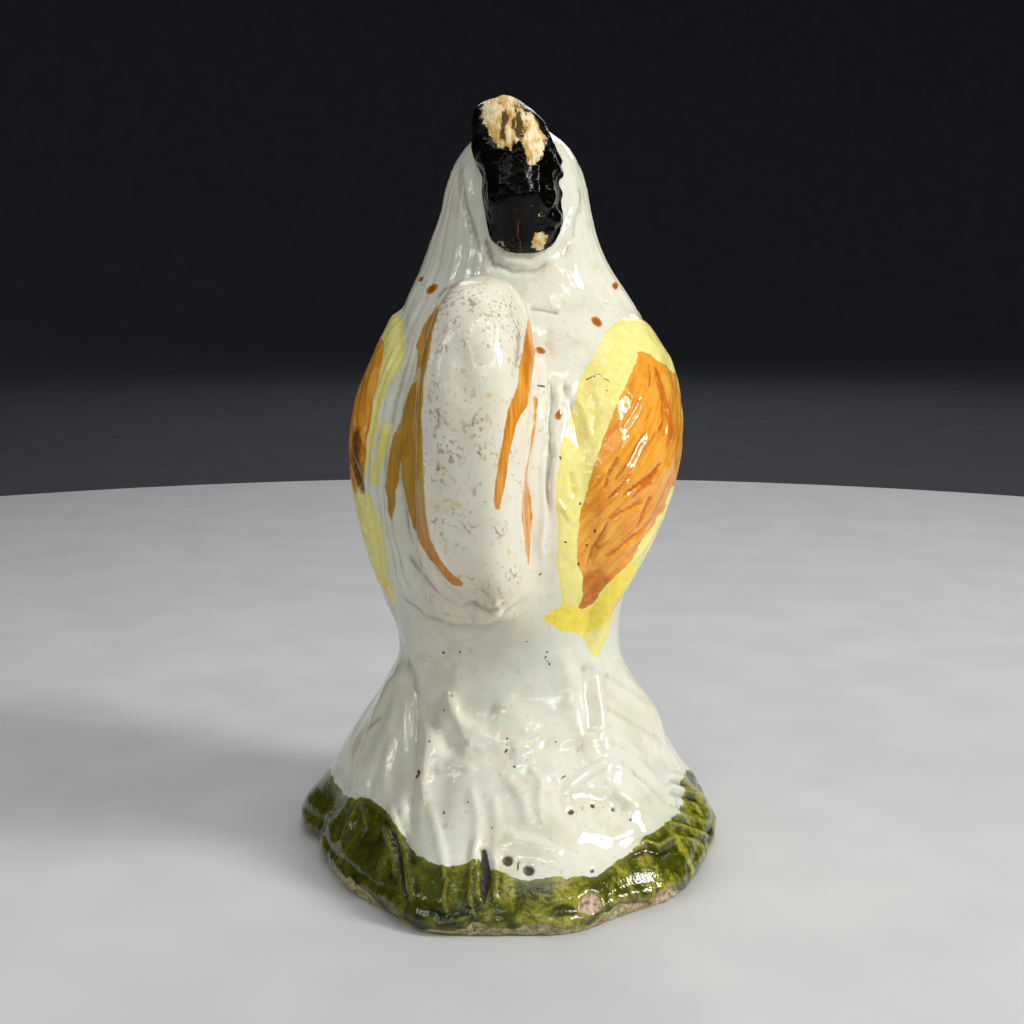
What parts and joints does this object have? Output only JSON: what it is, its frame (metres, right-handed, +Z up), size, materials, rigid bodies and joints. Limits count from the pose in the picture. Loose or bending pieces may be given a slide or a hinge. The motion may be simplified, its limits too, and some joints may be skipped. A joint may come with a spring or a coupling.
{
  "type": "pottery rooster figurine",
  "caption": "Small glazed pottery rooster with an upright tail, folded wings and a black comb, standing on a flared rocky mound base made in one with it.",
  "frame": {"origin": "middle of the flat underside of the base", "axes": "+Z up through the bird to the top of the comb, +Y towards the tail, -Y towards the beak, +X the bird's left side, on the viewer's left when it is seen from behind"},
  "size_m": [0.055, 0.0658, 0.0945],
  "materials": {
    "glazed_pottery": "cream-white glossy lead glaze over earthenware, hand painted in yellow, orange-brown, black and olive green, with wear and chips"
  },
  "bodies": {
    "root": {"rooster_figurine": "glazed_pottery"}
  },
  "joints": []
}
